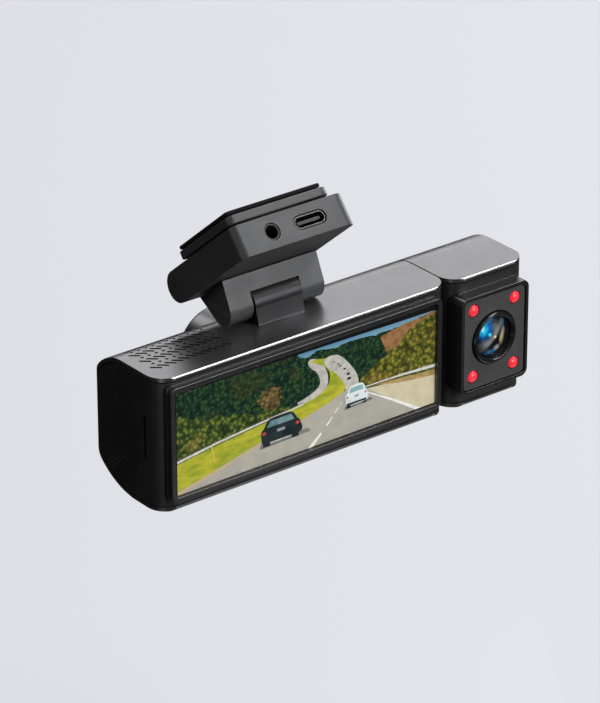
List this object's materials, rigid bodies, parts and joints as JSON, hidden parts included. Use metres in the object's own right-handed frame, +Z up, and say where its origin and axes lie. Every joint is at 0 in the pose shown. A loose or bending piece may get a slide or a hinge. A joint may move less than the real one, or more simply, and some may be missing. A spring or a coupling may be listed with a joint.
{
  "type": "dash camera",
  "caption": "Bar-shaped dash camera with a wide screen, a swivelling cabin camera pod and a hinged slide-on windscreen mount.",
  "frame": {"origin": "point on the adhesive pad's face, within 1 mm of its middle, that sticks to the windscreen", "axes": "+X along the bar towards the cabin camera pod, +Y away from the cabin towards the road, +Z up"},
  "size_m": [0.11, 0.0405, 0.0667],
  "materials": {
    "cover_grey": "satin metallic-look paint",
    "housing_black": "fine matt texture",
    "mount_grey": "satin",
    "gloss_black": "gloss",
    "lens_plate": "matt, flat",
    "clear_glass": "clear, polished",
    "lens_glass": "polished, coated",
    "display": "display face",
    "light_guide": "white",
    "board_green": "solder mask",
    "steel": "plain",
    "heat_sink_metal": "plain",
    "battery_wrap": "foil",
    "led_red": "tinted, clear",
    "foam_black": "foam",
    "button_black": "matt",
    "socket_black": "plain"
  },
  "bodies": {
    "windscreen_base": {"adhesive_pad": "foam_black", "adhesive_plate": "mount_grey"},
    "mount_shoe": {"shoe_housing": "mount_grey", "shoe_cover": "housing_black", "mount_board": "board_green", "usb_c_shell": "steel", "usb_c_tongue": "socket_black", "av_jack_socket": "socket_black", "hinge_bracket": "mount_grey", "hinge_pin": "steel", "bracket_screw_1": "steel", "bracket_screw_2": "steel"},
    "camera_body": {"top_cover": "cover_grey", "bottom_cover": "cover_grey", "mid_housing": "housing_black", "hinge_knuckle": "cover_grey", "friction_sleeve": "steel", "screen_bezel": "gloss_black", "screen_glass": "clear_glass", "lcd_panel": "display", "lcd_backlight": "light_guide", "main_board": "board_green", "heat_sink": "heat_sink_metal", "card_socket": "steel", "backup_battery": "battery_wrap", "speaker": "socket_black", "microphone": "steel", "button_board": "board_green", "front_lens_housing": "cover_grey", "front_lens_trim": "gloss_black", "front_lens_barrel": "housing_black", "front_lens_glass": "lens_glass", "front_sensor_board": "board_green", "body_screw_1": "steel", "body_screw_2": "steel", "body_screw_3": "steel", "body_screw_4": "steel", "pod_friction_washer": "steel"},
    "card": {"memory_card": "socket_black"},
    "power_key": {"power_button": "button_black"},
    "menu_key": {"menu_button": "button_black"},
    "up_key": {"up_button": "button_black"},
    "down_key": {"down_button": "button_black"},
    "cabin_pod": {"pod_housing": "housing_black", "pod_top_cover": "cover_grey", "pod_bottom_cover": "cover_grey", "pod_shaft": "steel", "pod_retaining_clip": "steel", "cabin_lens_frame": "gloss_black", "cabin_lens_plate": "lens_plate", "cabin_lens_ring": "gloss_black", "cabin_lens_barrel": "housing_black", "cabin_lens_glass": "lens_glass", "ir_led_1": "led_red", "ir_led_2": "led_red", "ir_led_3": "led_red", "ir_led_4": "led_red", "ir_led_board": "board_green", "cabin_sensor_board": "board_green"}
  },
  "joints": [
    {"name": "mount_slide", "type": "slide", "parent": "windscreen_base", "child": "mount_shoe", "axis": [0, 0.766, -0.6428], "range_m": [0, 0.0235]},
    {"name": "mount_tilt", "type": "hinge", "parent": "mount_shoe", "child": "camera_body", "pos_m": [0.0032, -0.0024, -0.021], "axis": [1, 0, 0], "range_deg": [-55, 25]},
    {"name": "pod_swivel", "type": "hinge", "parent": "camera_body", "child": "cabin_pod", "pos_m": [0.0465, -0.0038, -0.0415], "axis": [1, 0, 0], "range_deg": [-45, 45]},
    {"name": "card_slide", "type": "slide", "parent": "camera_body", "child": "card", "axis": [-1, 0, 0], "range_m": [0, 0.015]},
    {"name": "power_press", "type": "slide", "parent": "camera_body", "child": "power_key", "axis": [0, 0, 1], "range_m": [0, 0.0005], "stiffness_N_per_m": 800},
    {"name": "menu_press", "type": "slide", "parent": "camera_body", "child": "menu_key", "axis": [0, 0, 1], "range_m": [0, 0.0005], "stiffness_N_per_m": 800},
    {"name": "up_press", "type": "slide", "parent": "camera_body", "child": "up_key", "axis": [0, 0, 1], "range_m": [0, 0.0005], "stiffness_N_per_m": 800},
    {"name": "down_press", "type": "slide", "parent": "camera_body", "child": "down_key", "axis": [0, 0, 1], "range_m": [0, 0.0005], "stiffness_N_per_m": 800}
  ]
}
